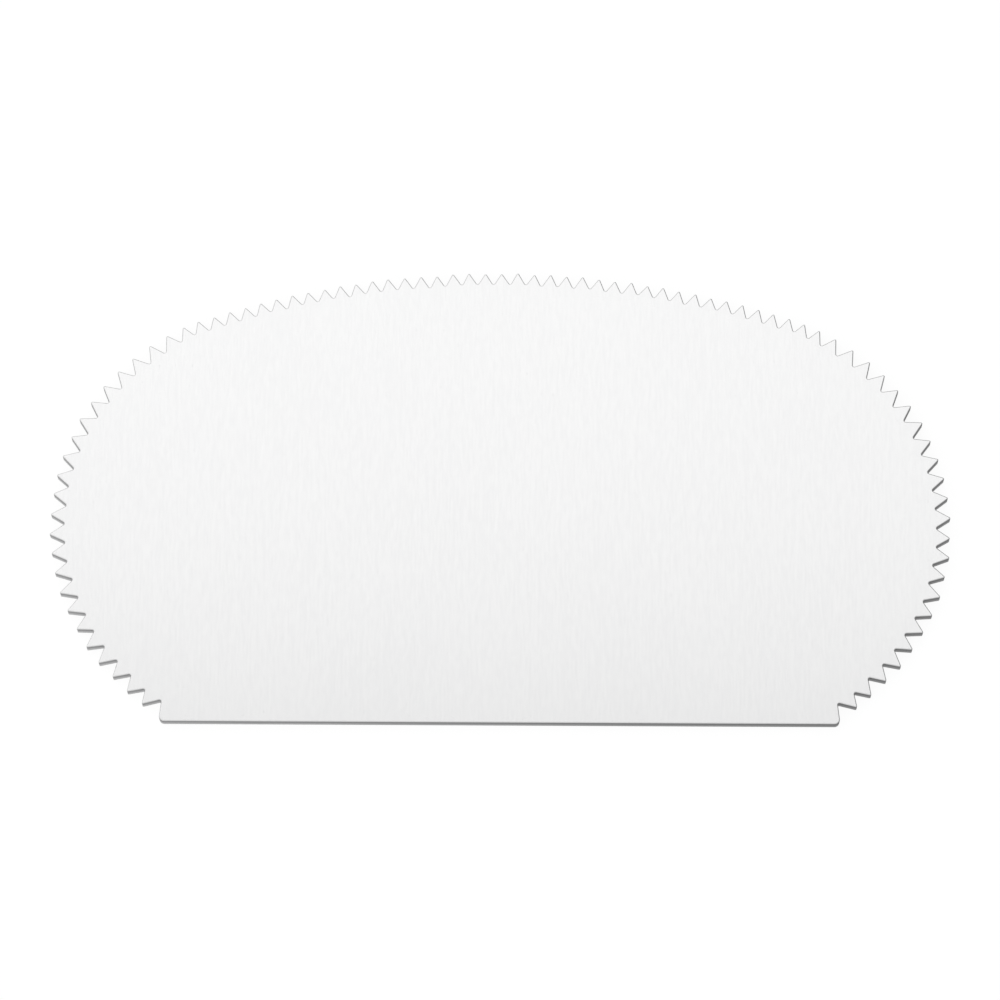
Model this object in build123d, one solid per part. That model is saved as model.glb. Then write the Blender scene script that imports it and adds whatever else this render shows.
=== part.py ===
from build123d import *
import math
import os

# Cake scraper: one flat sheet with a plain straight edge and a toothed curved edge.
# The sheet lies on its back face, with the straight edge along X and towards -Y.
# The origin is at the middle of the footprint, on the back face.

# Sizes of the outline, in millimetres, with the width between the sharp tips of the widest teeth
blade_width = 150.5
crown_radius = 153.2
side_radius = 38.4
riser_height = 3.5
corner_radius = 0.85

# Where the side arcs end, in degrees below the level of their centres
side_arc_end_angle = 57.75

# Sizes of the teeth, in millimetres, with the depths between the sharp tips and roots
fine_zone_length = 112.5
fine_pitch = 2.74
fine_depth = 2.5
coarse_pitch = 3.49
coarse_depth = 2.9
end_root_depth = 2.1
tip_radius = 0.2
root_radius = 0.25

# Sizes of the sheet, in millimetres
sheet_thickness = 2.0
rim_radius = 0.15

# The tooth tips lie on three arcs that run smoothly into each other:
# a wide crown arc in the middle and a side arc at each end of it.
# The outline is worked out with the side arcs' centres on the X axis.
side_centre_x = blade_width / 2 - side_radius
crown_centre_y = -math.sqrt((crown_radius - side_radius) ** 2 - side_centre_x**2)
join_angle = math.asin(side_centre_x / (crown_radius - side_radius))
join_length = crown_radius * join_angle
end_angle = math.radians(90 + side_arc_end_angle)
end_length = join_length + side_radius * (end_angle - join_angle)


def edge_point(length, depth):
    """The point at a length along the tip line from its middle, and a depth inside the line."""
    if abs(length) <= join_length:
        angle = abs(length) / crown_radius
        radius = crown_radius - depth
        x = radius * math.sin(angle)
        y = radius * math.cos(angle) + crown_centre_y
    else:
        angle = join_angle + (abs(length) - join_length) / side_radius
        radius = side_radius - depth
        x = radius * math.sin(angle) + side_centre_x
        y = radius * math.cos(angle)
    return (math.copysign(x, length), y)


def row_of_teeth(start, step, count, depth):
    """The lengths and depths of each tip and of the root after it, from a start along the edge."""
    corners = []
    for index in range(count):
        corners.append((start + (index + 1 / 2) * step, 0))
        corners.append((start + (index + 1) * step, depth))
    return corners


def curved_edge():
    """The lengths and depths of every tip and root, from the left end of the edge to the right."""
    zone_end = fine_zone_length / 2
    fine_count = round(fine_zone_length / fine_pitch)
    fine_step = fine_zone_length / fine_count
    fine_row = row_of_teeth(-zone_end, fine_step, fine_count, fine_depth)[:-1]
    coarse_length = end_length - zone_end
    coarse_count = round(coarse_length / coarse_pitch)
    coarse_step = coarse_length / coarse_count
    right_row = [(zone_end, (fine_depth + coarse_depth) / 2)]
    right_row += row_of_teeth(zone_end, coarse_step, coarse_count, coarse_depth)
    right_row[-1] = (end_length, end_root_depth)
    left_row = [(-length, depth) for length, depth in reversed(right_row)]
    return left_row + fine_row + right_row


def outline():
    """The closed outline of the sheet, with its tips, roots and bottom corners rounded."""
    corners = curved_edge()
    points = [edge_point(length, depth) for length, depth in corners]
    radii = [root_radius if depth else tip_radius for length, depth in corners]
    edge_half_width, riser_top = points[-1]
    straight_edge_y = riser_top - riser_height
    points += [(edge_half_width, straight_edge_y), (-edge_half_width, straight_edge_y)]
    radii += [corner_radius, corner_radius]
    return FilletPolyline(*points, radius=radii, close=True)


def scraper_plate():
    """The sheet, cut to its outline, with the rim of both faces rounded over."""
    sheet = extrude(make_face(outline()), amount=sheet_thickness, dir=(0, 0, 1))
    rims = sheet.faces().sort_by(Axis.Z)
    plate = fillet(rims[0].edges() + rims[-1].edges(), rim_radius)
    middle = plate.bounding_box().center()
    return Pos(-middle.X, -middle.Y, 0) * plate


os.makedirs("parts", exist_ok=True)
export_step(scraper_plate(), "parts/scraper_plate.step")
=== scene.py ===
import math

import bmesh
import bpy
from bpy.props import FloatProperty, FloatVectorProperty, IntProperty, PointerProperty
from mathutils import Matrix, Vector


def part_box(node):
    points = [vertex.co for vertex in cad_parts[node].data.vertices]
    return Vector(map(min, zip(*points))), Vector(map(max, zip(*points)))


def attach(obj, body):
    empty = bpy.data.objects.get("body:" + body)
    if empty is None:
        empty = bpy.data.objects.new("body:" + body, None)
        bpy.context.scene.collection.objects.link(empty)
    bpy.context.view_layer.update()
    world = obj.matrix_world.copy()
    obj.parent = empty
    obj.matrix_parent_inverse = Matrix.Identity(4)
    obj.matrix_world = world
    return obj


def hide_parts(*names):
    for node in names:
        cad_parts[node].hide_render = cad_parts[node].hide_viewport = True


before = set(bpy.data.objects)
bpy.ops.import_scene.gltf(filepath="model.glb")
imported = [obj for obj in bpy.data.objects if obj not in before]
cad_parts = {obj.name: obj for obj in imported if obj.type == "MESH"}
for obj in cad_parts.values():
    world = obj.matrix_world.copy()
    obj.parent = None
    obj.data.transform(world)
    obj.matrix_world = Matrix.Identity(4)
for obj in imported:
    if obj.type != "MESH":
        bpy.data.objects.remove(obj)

bl_info = {
    "name": "Cake Scraper",
    "version": (1, 0, 0),
    "blender": (4, 5, 0),
    "location": "View3D > Sidebar > Scraper",
    "description": "A toothed cake scraper of brushed sheet steel, on a pale studio floor",
    "category": "Add Mesh",
}

MM = 0.001
NODE = "scraper_plate"
SHEET_LOW, SHEET_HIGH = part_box(NODE)
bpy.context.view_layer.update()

# Steps of each rounded tip and root, of each bottom corner, and of the rim
TOOTH_STEPS = 3
CORNER_STEPS = 8
ARC_STEPS = 4

# Distance between the nodes of a tree, in its editor
NODE_STEP = 180.0

# How many corners at each end of the curved edge keep their set places. The others are
# moved along the edge at random, by up to this share of the unevenness.
END_CORNERS = 3
SHIFT_SHARE = 0.3

# Width of the flat between the rim and the fill of a face, as a share of the rim's radius
FLAT_SHARE = 0.2

# Points of the plate closer than this become one
MERGE_DISTANCE = 0.002 * MM

# Where the face's look ends and the cut edge's begins, from the face at 0 to the wall at 1.
# Across the rounded rim between them, the edge's dark colour is laid on as painted shade
RIM_SHADE_START, RIM_SHADE_FULL = 0.18, 0.74

# How many times wider and longer the wide brush lines are than the finest
WIDE_TIMES = 4.0

# Widths across the brushing and lengths along it, and the size of the marks on the cut edge
MOTTLE_WIDTH, MOTTLE_LENGTH = 0.45 * MM, 1.8 * MM
CLOUD_WIDTH, CLOUD_LENGTH = 28.0 * MM, 40.0 * MM
PIT_WIDTH, PIT_LENGTH = 0.5 * MM, 0.6 * MM
MARK_SIZE = 0.25 * MM

# How much each kind of line or patch adds to the streaks' colour and to their relief
FINE_SHARE, WIDE_SHARE, MOTTLE_SHARE, CLOUD_SHARE = 0.35, 0.12, 0.38, 0.15
FINE_RELIEF, WIDE_RELIEF, MOTTLE_RELIEF = 0.5, 0.2, 0.3
NOISE_ROUGHNESS = 0.6

# Noise values between which the streaks get dark and the pits begin
STREAK_LOW, STREAK_HIGH = 0.41, 0.59
PIT_LOW, PIT_HIGH = 0.66, 0.76

# Heights above the back face between which the torn part of the cut edge ends, and how
# ragged that line is
TORN_LOW, TORN_HIGH, TORN_RAGGED = 0.7 * MM, 1.5 * MM, 0.8 * MM

# How much the roughness varies on the faces and on the cut edge
FACE_SPREAD, CUT_SPREAD = 0.07, 0.2

BUMP_STRENGTH, BUMP_DISTANCE = 0.015, 0.02 * MM

# The side on which the low sky is brighter, the heights between which that fades, with 1
# for straight up, and the share of it that is left above them
BRIGHT_SIDE = (-0.9, -0.4, 0.0)
LOW_SKY, HIGH_SKY = 0.3, 0.85
HIGH_SKY_SHARE = 0.25

# The floor: the places between which its reflection gets darker as painted shade, its glow and
# its faint shading, how far it reaches each way, and how far it lies below the plate
FLOOR_BRIGHT_X, FLOOR_DARK_X = -100.0 * MM, 60.0 * MM
FLOOR_GLOW = (0.92, 0.92, 0.92, 1.0)
FLOOR_FAINT = (0.12, 0.12, 0.12, 1.0)
FLOOR_REACH = 3.0
FLOOR_GAP = 0.05 * MM

SOFTBOX_SIZE = (0.9, 0.92)
SOFTBOX_PLACE = (-0.08, 0.625, 0.8)

# The camera's sensor in millimetres, and the width of the picture at the plate's front face
SENSOR_WIDTH = 36.0
PICTURE_WIDTH = 1000.0 / 6.0 * MM
CLIP_START, CLIP_END = 0.01, 20.0

WHITE = (1.0, 1.0, 1.0, 1.0)


# Node trees

class Signal:
    """A socket of a node tree. Arithmetic on it adds the Math nodes of the expression."""

    def __init__(self, graph, socket):
        self.graph = graph
        self.socket = socket

    def math(self, operation, *others):
        return self.graph.math(operation, self, *others)

    def __add__(self, other):
        return self.math("ADD", other)

    def __radd__(self, other):
        return self.graph.math("ADD", other, self)

    def __sub__(self, other):
        return self.math("SUBTRACT", other)

    def __rsub__(self, other):
        return self.graph.math("SUBTRACT", other, self)

    def __mul__(self, other):
        return self.math("MULTIPLY", other)

    def __rmul__(self, other):
        return self.graph.math("MULTIPLY", other, self)

    def __truediv__(self, other):
        return self.math("DIVIDE", other)

    def __mod__(self, other):
        return self.math("MODULO", other)

    def __gt__(self, other):
        return self.math("GREATER_THAN", other)

    def __lt__(self, other):
        return self.math("LESS_THAN", other)

    def __neg__(self):
        return self.math("MULTIPLY", -1.0)

    def __abs__(self):
        return self.math("ABSOLUTE")


class Graph:
    """A node tree that is filled by expressions, and by one method for every other node."""

    def __init__(self, tree):
        self.tree = tree
        self.tree.nodes.clear()

    def node(self, kind, settings=None, values=None):
        """Adds a node, makes its settings, and then gives its sockets their values or links."""
        node = self.tree.nodes.new(kind)
        node.location = (NODE_STEP * len(self.tree.nodes), 0.0)
        for name, value in (settings or {}).items():
            setattr(node, name, value)
        for key, value in (values or {}).items():
            if isinstance(value, Signal):
                self.tree.links.new(value.socket, node.inputs[key])
            else:
                node.inputs[key].default_value = value
        return node

    def out(self, kind, settings=None, values=None, output=0):
        """The same as node, but gives one output of the node as a signal."""
        return Signal(self, self.node(kind, settings, values).outputs[output])

    def math(self, operation, *terms):
        values = {place: term for place, term in enumerate(terms)}
        return self.out("ShaderNodeMath", {"operation": operation}, values)

    def vector(self, operation, *terms):
        values = {place: term for place, term in enumerate(terms)}
        return self.out("ShaderNodeVectorMath", {"operation": operation}, values)

    def point(self, x, y, z):
        return self.out("ShaderNodeCombineXYZ", None, {0: x, 1: y, 2: z})

    def mix(self, share, first, second):
        """A number between two numbers, by a share from 0 to 1."""
        return (1.0 - share) * first + share * second

    def mix_colours(self, share, first, second):
        settings = {"data_type": "RGBA"}
        return self.out("ShaderNodeMix", settings, {0: share, 6: first, 7: second}, output=2)

    def smooth(self, value, low, high):
        """Rises smoothly from 0 at low to 1 at high."""
        settings = {"interpolation_type": "SMOOTHSTEP"}
        values = {0: value, 1: low, 2: high, 3: 0.0, 4: 1.0}
        return self.out("ShaderNodeMapRange", settings, values)


# Sizes and colours that can be set

class OutlineSizes(bpy.types.PropertyGroup):
    """The outline that the sheet is cut to."""

    blade_width: FloatProperty(
        name="Blade width", description="Between the sharp tips of the widest teeth",
        default=150.5 * MM, min=0.05, max=0.4, unit="LENGTH", precision=5)
    crown_radius: FloatProperty(
        name="Crown radius", description="Arc of the tooth tips over the crown",
        default=153.2 * MM, min=0.05, max=1.0, unit="LENGTH", precision=5)
    side_radius: FloatProperty(
        name="Side radius", description="Arc of the tooth tips round each side",
        default=38.4 * MM, min=0.01, max=0.2, unit="LENGTH", precision=5)
    side_arc_end: FloatProperty(
        name="Side arc end", description="Where a side arc ends, below the level of its centre",
        default=math.radians(57.75), min=0.0, max=math.radians(85), unit="ROTATION")
    riser_height: FloatProperty(
        name="Riser height", description="From the last root down to the straight edge",
        default=3.69 * MM, min=0.001, max=0.05, unit="LENGTH", precision=5)
    corner_radius: FloatProperty(
        name="Corner radius", description="Rounding of the two bottom corners",
        default=0.85 * MM, min=0.0001, max=0.01, unit="LENGTH", precision=5)
    corner_reach: FloatProperty(
        name="Corner reach", description="How far the bottom corners stand outside the last roots",
        default=0.45 * MM, min=0.0, max=0.01, unit="LENGTH", precision=5)


class ToothSizes(bpy.types.PropertyGroup):
    """The teeth of the curved edge."""

    fine_zone: FloatProperty(
        name="Fine zone", description="Length of the crown that has fine teeth, along the tips",
        default=112.5 * MM, min=0.01, max=0.4, unit="LENGTH", precision=5)
    fine_count: IntProperty(
        name="Fine teeth", description="Teeth in the fine zone", default=41, min=1, max=200)
    coarse_count: IntProperty(
        name="Coarse teeth", description="Teeth at each side", default=23, min=1, max=200)
    fine_depth: FloatProperty(
        name="Fine depth", description="Between the sharp tips and roots of the fine teeth",
        default=2.5 * MM, min=0.0005, max=0.02, unit="LENGTH", precision=5)
    coarse_depth: FloatProperty(
        name="Coarse depth", description="Between the sharp tips and roots of the coarse teeth",
        default=2.9 * MM, min=0.0005, max=0.02, unit="LENGTH", precision=5)
    end_root_depth: FloatProperty(
        name="End root depth", description="Depth of the last two roots at each end of the edge",
        default=2.5 * MM, min=0.0005, max=0.02, unit="LENGTH", precision=5)
    end_stray: FloatProperty(
        name="End stray",
        description="How far the last three corners of the curved edge lie off their even places",
        default=0.3 * MM, min=0.0, max=0.001, unit="LENGTH", precision=5)
    tip_radius: FloatProperty(
        name="Tip radius", description="Rounding of the tooth tips",
        default=0.2 * MM, min=0.00001, max=0.002, unit="LENGTH", precision=5)
    root_radius: FloatProperty(
        name="Root radius", description="Rounding between the teeth",
        default=0.25 * MM, min=0.00001, max=0.002, unit="LENGTH", precision=5)
    unevenness: FloatProperty(
        name="Unevenness", description="How far short the shortest tips are, from cutting",
        default=0.3 * MM, min=0.0, max=0.001, unit="LENGTH", precision=5)
    seed: IntProperty(
        name="Seed", description="Picks which teeth are uneven", default=7, min=0, max=999)


class SheetSizes(bpy.types.PropertyGroup):
    """The sheet and its rim."""

    thickness: FloatProperty(
        name="Thickness", description="Thickness of the sheet",
        default=SHEET_HIGH.z - SHEET_LOW.z, min=0.0005, max=0.01, unit="LENGTH", precision=5)
    rim_radius: FloatProperty(
        name="Rim radius", description="Rounding of the rim of both faces",
        default=0.18 * MM, min=0.00001, max=0.001, unit="LENGTH", precision=5)


class SteelFinish(bpy.types.PropertyGroup):
    """The look of the brushed steel."""

    face_colour: FloatVectorProperty(
        name="Face colour", description="Colour of the brushed faces", subtype="COLOR",
        default=(0.93, 0.93, 0.93), min=0.0, max=1.0)
    streak_colour: FloatVectorProperty(
        name="Streak colour", description="Colour in the darker streaks of the brushing",
        subtype="COLOR", default=(0.913, 0.913, 0.915), min=0.0, max=1.0)
    pit_colour: FloatVectorProperty(
        name="Pit colour", description="Colour of the small pits in the faces", subtype="COLOR",
        default=(0.86, 0.86, 0.862), min=0.0, max=1.0)
    # Its darkness is partly the sheared steel's own and partly painted shade, also on the rounded
    # rim
    cut_colour_and_shade: FloatVectorProperty(
        name="Cut edge colour", description="Colour of the sheared edge towards the front face",
        subtype="COLOR", default=(0.3, 0.3, 0.303), min=0.0, max=1.0)
    torn_colour: FloatVectorProperty(
        name="Torn edge colour", description="Colour of the sheared edge towards the back face",
        subtype="COLOR", default=(0.5, 0.5, 0.503), min=0.0, max=1.0)
    face_roughness: FloatProperty(
        name="Face roughness", description="Roughness of the brushed faces",
        default=0.24, min=0.0, max=1.0, subtype="FACTOR")
    cut_roughness: FloatProperty(
        name="Cut edge roughness", description="Roughness of the sheared edge",
        default=0.5, min=0.0, max=1.0, subtype="FACTOR")
    grain_width: FloatProperty(
        name="Grain width", description="Width of the finest brush lines",
        default=0.12 * MM, min=0.00001, max=0.01, unit="LENGTH", precision=5)
    grain_length: FloatProperty(
        name="Grain length", description="Length of the brush lines",
        default=4.0 * MM, min=0.0001, max=0.2, unit="LENGTH", precision=5)


class StageSetup(bpy.types.PropertyGroup):
    """The studio round the plate."""

    floor_colour: FloatVectorProperty(
        name="Floor colour", description="Colour of the floor", subtype="COLOR",
        default=(0.8, 0.8, 0.8), min=0.0, max=1.0)
    sky_strength: FloatProperty(
        name="Sky strength", description="Light from all round", default=0.7, min=0.0, max=10.0)
    sky_lean: FloatProperty(
        name="Sky lean", description="How much brighter the low sky is at the left",
        default=0.6, min=0.0, max=1.0)
    # The floor's darker reflection at the right is painted shade
    floor_lean: FloatProperty(
        name="Floor lean", description="How much darker the floor's reflection is at the right",
        default=0.5, min=0.0, max=1.0, subtype="FACTOR")
    softbox_power: FloatProperty(
        name="Softbox power", description="Power of the softbox above", unit="POWER",
        default=0.98, min=0.0, max=1000.0)
    distance: FloatProperty(
        name="Camera distance", description="From the front face to the camera",
        default=1.0, min=0.1, max=10.0, unit="LENGTH")
    tilt: FloatProperty(
        name="Camera tilt", description="How far the camera leans towards the straight edge",
        default=0.3, min=-1.5, max=1.5, unit="ROTATION")
    side_tilt: FloatProperty(
        name="Camera side tilt", description="How far the camera leans towards +X",
        default=0.003, min=-1.5, max=1.5, unit="ROTATION")
    aim_below: FloatProperty(
        name="Aim below", description="How far below the plate's middle the camera aims",
        default=0.79 * MM, min=-0.1, max=0.1, unit="LENGTH", precision=5)
    aim_aside: FloatProperty(
        name="Aim aside", description="How far to the left of the plate's middle the camera aims",
        default=0.1 * MM, min=-0.1, max=0.1, unit="LENGTH", precision=5)
    roll: FloatProperty(
        name="Camera roll", description="Turn of the plate in the picture, anticlockwise",
        default=-0.0047, min=-1.0, max=1.0, unit="ROTATION")


# The plate's node tree

# Each size that the tree is given: its input, the kind of socket, and the setting it comes from
PLATE_SIZES = (
    ("Blade width", "NodeSocketFloat", "scraper_outline", "blade_width"),
    ("Crown radius", "NodeSocketFloat", "scraper_outline", "crown_radius"),
    ("Side radius", "NodeSocketFloat", "scraper_outline", "side_radius"),
    ("Side arc end", "NodeSocketFloat", "scraper_outline", "side_arc_end"),
    ("Riser height", "NodeSocketFloat", "scraper_outline", "riser_height"),
    ("Corner radius", "NodeSocketFloat", "scraper_outline", "corner_radius"),
    ("Corner reach", "NodeSocketFloat", "scraper_outline", "corner_reach"),
    ("Fine zone", "NodeSocketFloat", "scraper_teeth", "fine_zone"),
    ("Fine teeth", "NodeSocketInt", "scraper_teeth", "fine_count"),
    ("Coarse teeth", "NodeSocketInt", "scraper_teeth", "coarse_count"),
    ("Fine depth", "NodeSocketFloat", "scraper_teeth", "fine_depth"),
    ("Coarse depth", "NodeSocketFloat", "scraper_teeth", "coarse_depth"),
    ("End root depth", "NodeSocketFloat", "scraper_teeth", "end_root_depth"),
    ("End stray", "NodeSocketFloat", "scraper_teeth", "end_stray"),
    ("Tip radius", "NodeSocketFloat", "scraper_teeth", "tip_radius"),
    ("Root radius", "NodeSocketFloat", "scraper_teeth", "root_radius"),
    ("Unevenness", "NodeSocketFloat", "scraper_teeth", "unevenness"),
    ("Seed", "NodeSocketInt", "scraper_teeth", "seed"),
    ("Thickness", "NodeSocketFloat", "scraper_sheet", "thickness"),
    ("Rim radius", "NodeSocketFloat", "scraper_sheet", "rim_radius"),
)


def tooth_outline(graph, size):
    """The closed outline through every tip and root and the two bottom corners, all rounded.

    The corners are counted from the left end of the curved edge. The bottom two come last.
    """
    fine, coarse = size["Fine teeth"], size["Coarse teeth"]
    half = 2.0 * coarse + fine
    corner_count = 2.0 * half + 1.0
    index = graph.out("GeometryNodeInputIndex")
    place = index - half
    steps = abs(place)
    at_bottom = index > (corner_count - 0.5)
    is_tip = ((steps + fine) % 2.0) * (1.0 - at_bottom)

    # The arcs of the tip line
    radius_gap = size["Crown radius"] - size["Side radius"]
    side_x = size["Blade width"] / 2.0 - size["Side radius"]
    crown_y = -((radius_gap * radius_gap - side_x * side_x).math("SQRT"))
    join_angle = (side_x / radius_gap).math("ARCSINE")
    join_length = size["Crown radius"] * join_angle
    last_angle = size["Side arc end"] + math.pi / 2
    end_length = join_length + size["Side radius"] * (last_angle - join_angle)

    # How far along the tip line each corner lies, and how deep. The last tip and the roots
    # beside it lie off their even places, and every other corner is a little uneven: a tip
    # is short by up to the unevenness, and a root is out by up to half of it either way.
    fine_half_step = size["Fine zone"] / fine / 2.0
    coarse_half_step = (end_length - size["Fine zone"] / 2.0) / coarse / 2.0
    fine_steps = steps.math("MINIMUM", fine)
    coarse_steps = (steps - fine).math("MAXIMUM", 0.0)
    shift = size["Unevenness"] * SHIFT_SHARE
    stray = graph.out(
        "FunctionNodeRandomValue", {"data_type": "FLOAT"},
        {2: -shift, 3: shift, 8: size["Seed"]}, output=1)
    chance = graph.out(
        "FunctionNodeRandomValue", {"data_type": "FLOAT"}, {8: size["Seed"] + 1.0}, output=1)
    short = (chance - 0.5 * (1.0 - is_tip)) * size["Unevenness"]
    inner = steps < (half - (END_CORNERS - 0.5))
    end_shift = (1.0 - 2.0 * is_tip) * (1.0 - inner) * size["End stray"]
    even_length = fine_steps * fine_half_step + coarse_steps * coarse_half_step
    length = even_length + stray * inner + end_shift
    coarse_share = (steps - fine).math("MULTIPLY_ADD", 0.5, 0.5)
    coarse_share = coarse_share.math("MAXIMUM", 0.0).math("MINIMUM", 1.0)
    root_depth = graph.mix(coarse_share, size["Fine depth"], size["Coarse depth"])
    root_depth = graph.mix(inner, size["End root depth"], root_depth)
    depth = (1.0 - is_tip) * root_depth + short * inner

    # Where each corner lies
    on_side = length > join_length
    crown_angle = length / size["Crown radius"]
    side_angle = join_angle + (length - join_length) / size["Side radius"]
    angle = graph.mix(on_side, crown_angle, side_angle)
    radius = graph.mix(on_side, size["Crown radius"], size["Side radius"]) - depth
    tooth_x = place.math("SIGN") * (on_side * side_x + radius * angle.math("SINE"))
    tooth_y = (1.0 - on_side) * crown_y + radius * angle.math("COSINE")

    # The two bottom corners stand below the last roots and a little outside them
    end_radius = size["Side radius"] - size["End root depth"]
    end_angle = last_angle + size["End stray"] / size["Side radius"]
    bottom_side = 1.0 - 2.0 * (index - corner_count)
    bottom_x = side_x + end_radius * end_angle.math("SINE") + size["Corner reach"]
    bottom_y = end_radius * end_angle.math("COSINE") - size["Riser height"]
    x = graph.mix(at_bottom, tooth_x, bottom_x * bottom_side)
    y = graph.mix(at_bottom, tooth_y, bottom_y)

    line = graph.out("GeometryNodeCurvePrimitiveLine")
    points = graph.out(
        "GeometryNodeResampleCurve", {"mode": "COUNT"},
        {"Curve": line, "Count": corner_count + 2.0})
    placed = graph.out(
        "GeometryNodeSetPosition", None,
        {"Geometry": points, "Position": graph.point(x, y, 0.0)})
    closed = graph.out(
        "GeometryNodeSetSplineCyclic", None, {"Geometry": placed, "Cyclic": True})
    tooth_radius = graph.mix(is_tip, size["Root radius"], size["Tip radius"])
    values = {
        "Curve": closed,
        "Radius": graph.mix(at_bottom, tooth_radius, size["Corner radius"]),
        "Count": graph.mix(at_bottom, float(TOOTH_STEPS), float(CORNER_STEPS)),
        "Limit Radius": True,
    }
    rounded = graph.out("GeometryNodeFilletCurve", {"mode": "POLY"}, values)
    return graph.out("GeometryNodeSetCurveNormal", {"mode": "Z_UP"}, {"Curve": rounded})


def rim_profile(graph, size):
    """The cross-section of the edge: a short flat, a round rim, the wall and the same again."""
    count = 2 * ARC_STEPS + 4
    index = graph.out("GeometryNodeInputIndex")
    place = index - (count - 1) / 2.0
    step = abs(place) - 0.5
    turn = (step / float(ARC_STEPS)).math("MINIMUM", 1.0) * (math.pi / 2)
    past = (step - float(ARC_STEPS)).math("MAXIMUM", 0.0)
    inset = size["Rim radius"] * (1.0 - turn.math("COSINE"))
    inset = inset + past * size["Rim radius"] * FLAT_SHARE
    height = size["Thickness"] / 2.0 - size["Rim radius"] * (1.0 - turn.math("SINE"))
    line = graph.out("GeometryNodeCurvePrimitiveLine")
    points = graph.out(
        "GeometryNodeResampleCurve", {"mode": "COUNT"}, {"Curve": line, "Count": count})
    position = graph.point(inset, place.math("SIGN") * height, 0.0)
    placed = graph.out(
        "GeometryNodeSetPosition", None, {"Geometry": points, "Position": position})
    cut = 1.0 - (step / float(ARC_STEPS)).math("MINIMUM", 1.0)
    return graph.out(
        "GeometryNodeStoreNamedAttribute", {"data_type": "FLOAT", "domain": "POINT"},
        {"Geometry": placed, "Name": "cut_edge", "Value": cut})


def plate_tree():
    """Geometry nodes that cut the sheet to its toothed outline."""
    tree = bpy.data.node_groups.new("Scraper plate", "GeometryNodeTree")
    for name, kind, group, setting in PLATE_SIZES:
        tree.interface.new_socket(name, in_out="INPUT", socket_type=kind)
    tree.interface.new_socket("Steel", in_out="INPUT", socket_type="NodeSocketMaterial")
    tree.interface.new_socket("Plate", in_out="OUTPUT", socket_type="NodeSocketGeometry")
    graph = Graph(tree)
    given = graph.node("NodeGroupInput")
    size = {row[0]: Signal(graph, given.outputs[row[0]]) for row in PLATE_SIZES}

    outline = tooth_outline(graph, size)
    profile = rim_profile(graph, size)
    edge = graph.out(
        "GeometryNodeCurveToMesh", None, {"Curve": outline, "Profile Curve": profile})

    # Each face is filled inside the open edges at its height, with one face beside them
    faces_beside = graph.out("GeometryNodeInputMeshEdgeNeighbors")
    position = graph.out("GeometryNodeInputPosition")
    height = graph.out("ShaderNodeSeparateXYZ", None, {0: position}, output=2)
    parts = [edge]
    for sign in (1.0, -1.0):
        chosen = (faces_beside < 1.5) * ((height * sign) > 0.0)
        loop = graph.out(
            "GeometryNodeMeshToCurve", None, {"Mesh": edge, "Selection": chosen})
        cap = graph.out("GeometryNodeFillCurve", {"mode": "NGONS"}, {"Curve": loop})
        offset = graph.point(0.0, 0.0, size["Thickness"] * (sign / 2.0))
        parts.append(graph.out(
            "GeometryNodeSetPosition", None, {"Geometry": cap, "Offset": offset}))
    joined = graph.node("GeometryNodeJoinGeometry")
    for part in reversed(parts):
        tree.links.new(part.socket, joined.inputs[0])
    merged = graph.out(
        "GeometryNodeMergeByDistance", None,
        {"Geometry": Signal(graph, joined.outputs[0]), "Distance": MERGE_DISTANCE})
    lifted = graph.out(
        "GeometryNodeTransform", None,
        {"Geometry": merged, "Translation": graph.point(0.0, 0.0, size["Thickness"] / 2.0)})
    real = graph.out("GeometryNodeRealizeInstances", None, {"Geometry": lifted})
    smooth = graph.out(
        "GeometryNodeSetShadeSmooth", None, {"Geometry": real, "Shade Smooth": True})
    steel = Signal(graph, given.outputs["Steel"])
    plate = graph.out("GeometryNodeSetMaterial", None, {"Geometry": smooth, "Material": steel})
    graph.node("NodeGroupOutput", None, {"Plate": plate})
    return tree


# The steel

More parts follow.
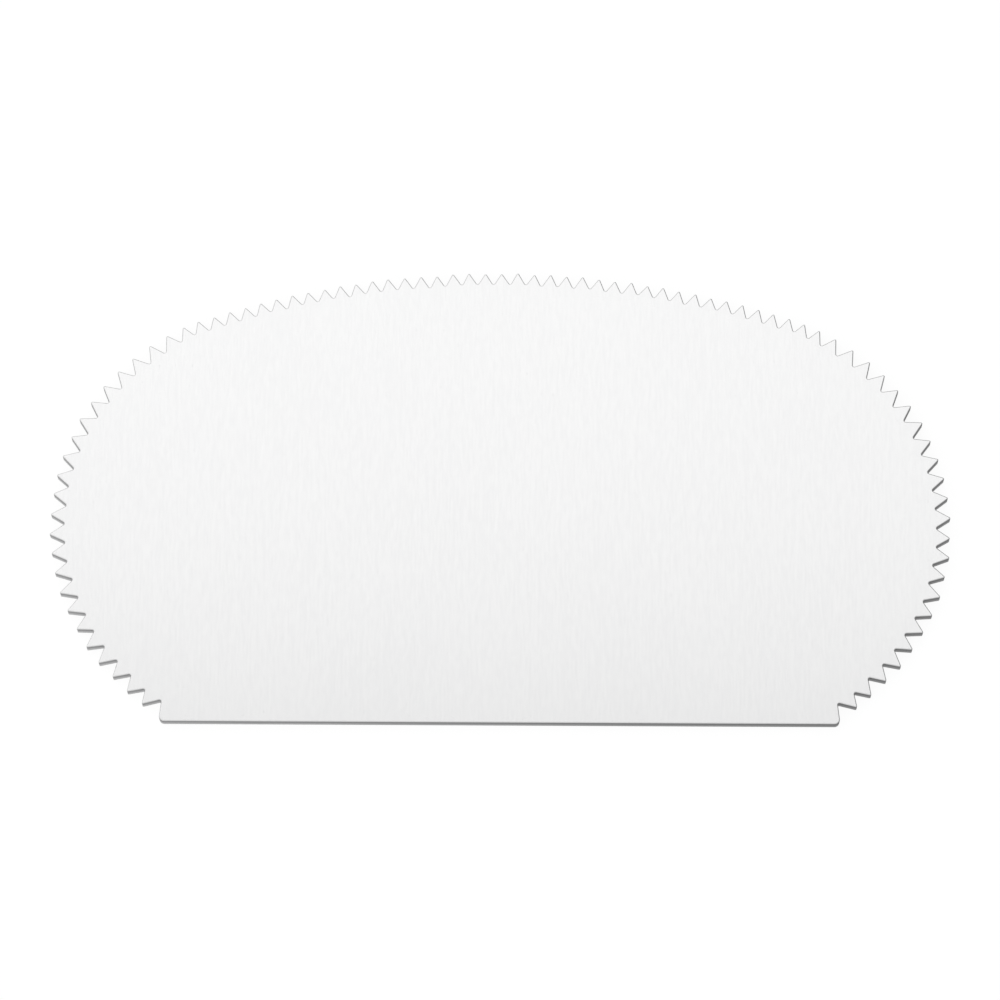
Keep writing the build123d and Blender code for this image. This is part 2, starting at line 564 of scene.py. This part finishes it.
def brushed_steel(finish):
    """Brushed sheet steel: fine lines along Y on the faces, a darker sheared edge all round,
    partly painted shade.
    """
    material = bpy.data.materials.new("Brushed sheet steel")
    material.use_nodes = True
    graph = Graph(material.node_tree)
    place = graph.out("ShaderNodeTexCoord", None, None, output="Object")
    cut = graph.out("ShaderNodeAttribute", {"attribute_name": "cut_edge"}, None, output="Fac")
    # Over the rounded rim the face's look gives way to the edge's dark colour: painted shade of
    # the rim
    flat = 1.0 - graph.smooth(cut, RIM_SHADE_START, RIM_SHADE_FULL)

    def noise(across, along, detail, seed):
        """Noise in patches of a width across the brushing and a length along it."""
        spread = graph.vector("MULTIPLY", place, (1.0 / across, 1.0 / along, 1.0 / across))
        values = {
            "Vector": spread, "W": seed, "Scale": 1.0, "Detail": detail,
            "Roughness": NOISE_ROUGHNESS}
        return graph.out("ShaderNodeTexNoise", {"noise_dimensions": "4D"}, values)

    fine_lines = noise(finish.grain_width, finish.grain_length, detail=3.0, seed=1.0)
    wide_lines = noise(
        finish.grain_width * WIDE_TIMES, finish.grain_length * WIDE_TIMES, detail=2.0, seed=5.0)
    mottle = noise(MOTTLE_WIDTH, MOTTLE_LENGTH, detail=1.0, seed=9.0)
    cloud = noise(CLOUD_WIDTH, CLOUD_LENGTH, detail=1.0, seed=13.0)
    pit_noise = noise(PIT_WIDTH, PIT_LENGTH, detail=1.0, seed=17.0)
    cut_marks = noise(MARK_SIZE, MARK_SIZE, detail=2.0, seed=21.0)

    # The faces: streaks along the brushing, with small pits in them
    streaks = fine_lines * FINE_SHARE + wide_lines * WIDE_SHARE + mottle * MOTTLE_SHARE
    streaks = streaks + cloud * CLOUD_SHARE
    darker = graph.smooth(streaks, STREAK_LOW, STREAK_HIGH)
    pits = graph.smooth(pit_noise, PIT_LOW, PIT_HIGH)
    face = graph.mix_colours(darker, (*finish.face_colour, 1.0), (*finish.streak_colour, 1.0))
    face = graph.mix_colours(pits, face, (*finish.pit_colour, 1.0))
    face_roughness = finish.face_roughness + (streaks - 0.5) * FACE_SPREAD

    # The cut edge: sheared clean towards the front face and torn towards the back face. Its dark
    # colour is partly the steel's own and partly painted shade of the wall
    height = graph.out("ShaderNodeSeparateXYZ", None, {0: place}, output=2)
    ragged = height + (cut_marks - 0.5) * TORN_RAGGED
    torn = 1.0 - graph.smooth(ragged, SHEET_LOW.z + TORN_LOW, SHEET_LOW.z + TORN_HIGH)
    edge_colour_and_shade = graph.mix_colours(torn, (*finish.cut_colour_and_shade, 1.0), (*finish.torn_colour, 1.0))
    cut_roughness = finish.cut_roughness + (cut_marks - 0.5) * CUT_SPREAD

    colour = graph.mix_colours(flat, edge_colour_and_shade, face)
    roughness = graph.mix(flat, cut_roughness, face_roughness)
    relief = (fine_lines - 0.5) * FINE_RELIEF + (wide_lines - 0.5) * WIDE_RELIEF
    relief = relief + (mottle - 0.5) * MOTTLE_RELIEF
    bump = graph.out(
        "ShaderNodeBump", None,
        {"Strength": BUMP_STRENGTH, "Distance": BUMP_DISTANCE, "Height": relief})
    shader = graph.node(
        "ShaderNodeBsdfPrincipled", None,
        {"Base Color": colour, "Metallic": 1.0, "Roughness": roughness, "Normal": bump})
    surface = Signal(graph, shader.outputs[0])
    graph.node("ShaderNodeOutputMaterial", None, {"Surface": surface})
    return material


# Operators

class SCRAPER_OT_plate(bpy.types.Operator):
    """Cut the sheet to its toothed outline and finish it as brushed steel"""

    bl_idname = "scraper.plate"
    bl_label = "Scraper plate"

    def execute(self, context):
        scene = context.scene
        given = {"Steel": brushed_steel(scene.scraper_finish)}
        for name, kind, group, setting in PLATE_SIZES:
            given[name] = getattr(getattr(scene, group), setting)
        tree = plate_tree()
        maker = bpy.data.objects.new("plate_maker", bpy.data.meshes.new("plate_maker"))
        scene.collection.objects.link(maker)
        modifier = maker.modifiers.new("Plate", "NODES")
        modifier.node_group = tree
        for item in tree.interface.items_tree:
            if item.in_out == "INPUT":
                modifier[item.identifier] = given[item.name]
        evaluated = maker.evaluated_get(context.evaluated_depsgraph_get())
        mesh = bpy.data.meshes.new_from_object(evaluated)
        bpy.data.objects.remove(maker)

        # The straight edge goes where the sheet's own one lies, and the faces point outwards
        low_edge = min(vertex.co.y for vertex in mesh.vertices)
        mesh.transform(Matrix.Translation((0.0, SHEET_LOW.y - low_edge, SHEET_LOW.z)))
        shell = bmesh.new()
        shell.from_mesh(mesh)
        bmesh.ops.recalc_face_normals(shell, faces=shell.faces)
        if shell.calc_volume(signed=True) < 0.0:
            bmesh.ops.reverse_faces(shell, faces=shell.faces)
        shell.to_mesh(mesh)
        shell.free()

        mesh.name = "toothed_plate"
        plate = bpy.data.objects.new("toothed_plate", mesh)
        scene.collection.objects.link(plate)
        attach(plate, "root")
        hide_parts(NODE)
        return {"FINISHED"}


class SCRAPER_OT_stage(bpy.types.Operator):
    """Set up the pale floor, the soft light and the camera"""

    bl_idname = "scraper.stage"
    bl_label = "Studio"

    def execute(self, context):
        scene, setup = context.scene, context.scene.scraper_stage
        scene.view_settings.view_transform = "Standard"

        world = bpy.data.worlds.new("Studio white")
        world.use_nodes = True
        graph = Graph(world.node_tree)
        ray = graph.node("ShaderNodeLightPath")
        camera_ray = Signal(graph, ray.outputs["Is Camera Ray"])
        direction = graph.out("ShaderNodeTexCoord", None, None, output="Generated")
        lean = graph.out(
            "ShaderNodeVectorMath", {"operation": "DOT_PRODUCT"}, {0: direction, 1: BRIGHT_SIDE},
            output="Value")
        height = graph.out("ShaderNodeSeparateXYZ", None, {0: direction}, output=2)
        high = graph.smooth(height, LOW_SKY, HIGH_SKY)
        lean_amount = graph.mix(high, setup.sky_lean, setup.sky_lean * HIGH_SKY_SHARE)
        strength = graph.mix(camera_ray, setup.sky_strength + lean * lean_amount, 1.0)
        sky = graph.out("ShaderNodeBackground", None, {"Color": WHITE, "Strength": strength})
        graph.node("ShaderNodeOutputWorld", None, {"Surface": sky})
        scene.world = world

        floor_white = bpy.data.materials.new("White floor")
        floor_white.use_nodes = True
        graph = Graph(floor_white.node_tree)
        ray = graph.node("ShaderNodeLightPath")
        mirrored = Signal(graph, ray.outputs["Is Glossy Ray"])
        seen = Signal(graph, ray.outputs["Is Camera Ray"]).math("MAXIMUM", mirrored)
        seen = seen.math("MAXIMUM", Signal(graph, ray.outputs["Is Transmission Ray"]))

        # In reflections the floor's glow fades towards the right, away from the light: painted
        # shade
        place = graph.out("ShaderNodeTexCoord", None, None, output="Object")
        across = graph.out("ShaderNodeSeparateXYZ", None, {0: place}, output=0)
        shade = graph.smooth(across, FLOOR_BRIGHT_X, FLOOR_DARK_X) * mirrored
        glow_strength = 1.0 - shade * setup.floor_lean
        dull = graph.out("ShaderNodeBsdfDiffuse", None, {"Color": (*setup.floor_colour, 1.0)})
        faint = graph.out("ShaderNodeBsdfDiffuse", None, {"Color": FLOOR_FAINT})
        glow = graph.out(
            "ShaderNodeEmission", None, {"Color": FLOOR_GLOW, "Strength": glow_strength})
        bright = graph.out("ShaderNodeAddShader", None, {0: faint, 1: glow})
        surface = graph.out("ShaderNodeMixShader", None, {0: seen, 1: dull, 2: bright})
        graph.node("ShaderNodeOutputMaterial", None, {"Surface": surface})
        mesh = bpy.data.meshes.new("studio_floor")
        sides = ((-1, -1), (1, -1), (1, 1), (-1, 1))
        corners = [(FLOOR_REACH * x, FLOOR_REACH * y, 0.0) for x, y in sides]
        mesh.from_pydata(corners, [], [(0, 1, 2, 3)])
        mesh.materials.append(floor_white)
        floor = bpy.data.objects.new("studio_floor", mesh)
        floor.location.z = SHEET_LOW.z - FLOOR_GAP
        scene.collection.objects.link(floor)

        lamp = bpy.data.lights.new("softbox", "AREA")
        lamp.shape = "RECTANGLE"
        lamp.size, lamp.size_y = SOFTBOX_SIZE
        lamp.energy = setup.softbox_power
        softbox = bpy.data.objects.new("softbox", lamp)
        softbox.location = SOFTBOX_PLACE
        scene.collection.objects.link(softbox)

        lens = bpy.data.cameras.new("camera")
        lens.sensor_width = SENSOR_WIDTH
        lens.lens = SENSOR_WIDTH * setup.distance / PICTURE_WIDTH
        lens.clip_start, lens.clip_end = CLIP_START, CLIP_END
        camera = bpy.data.objects.new("camera", lens)
        turn = Matrix.Rotation(setup.roll, 3, "Z") @ Matrix.Rotation(-setup.side_tilt, 3, "Y")
        turn = turn @ Matrix.Rotation(-setup.tilt, 3, "X")
        right, up, back = (Vector(row) for row in turn)
        target = Vector((0.0, 0.0, SHEET_HIGH.z))
        spot = target + setup.distance * back - setup.aim_below * up - setup.aim_aside * right
        facing = turn.transposed().to_4x4()
        camera.matrix_world = Matrix.Translation(spot) @ facing
        scene.collection.objects.link(camera)
        scene.camera = camera
        return {"FINISHED"}


class SCRAPER_PT_panel(bpy.types.Panel):
    """Sizes, finish and stage of the scraper"""

    bl_idname = "SCRAPER_PT_panel"
    bl_label = "Cake scraper"
    bl_space_type = "VIEW_3D"
    bl_region_type = "UI"
    bl_category = "Scraper"

    def draw(self, context):
        scene = context.scene
        self.list_group(scene.scraper_outline)
        self.list_group(scene.scraper_teeth)
        self.list_group(scene.scraper_sheet)
        self.list_group(scene.scraper_finish)
        self.layout.operator(SCRAPER_OT_plate.bl_idname)
        self.list_group(scene.scraper_stage)
        self.layout.operator(SCRAPER_OT_stage.bl_idname)

    def list_group(self, group):
        """Lists the settings of one group in a box."""
        box = self.layout.box()
        for name in group.bl_rna.properties.keys():
            if name not in ("rna_type", "name"):
                box.prop(group, name)


GROUPS = {
    "scraper_outline": OutlineSizes,
    "scraper_teeth": ToothSizes,
    "scraper_sheet": SheetSizes,
    "scraper_finish": SteelFinish,
    "scraper_stage": StageSetup,
}
CLASSES = (*GROUPS.values(), SCRAPER_OT_plate, SCRAPER_OT_stage, SCRAPER_PT_panel)


def register():
    for kind in CLASSES:
        bpy.utils.register_class(kind)
    for name, kind in GROUPS.items():
        setattr(bpy.types.Scene, name, PointerProperty(type=kind))


def unregister():
    for name in GROUPS:
        delattr(bpy.types.Scene, name)
    for kind in reversed(CLASSES):
        bpy.utils.unregister_class(kind)


def main():
    register()
    bpy.ops.scraper.plate()
    bpy.ops.scraper.stage()


if __name__ == "__main__":
    main()
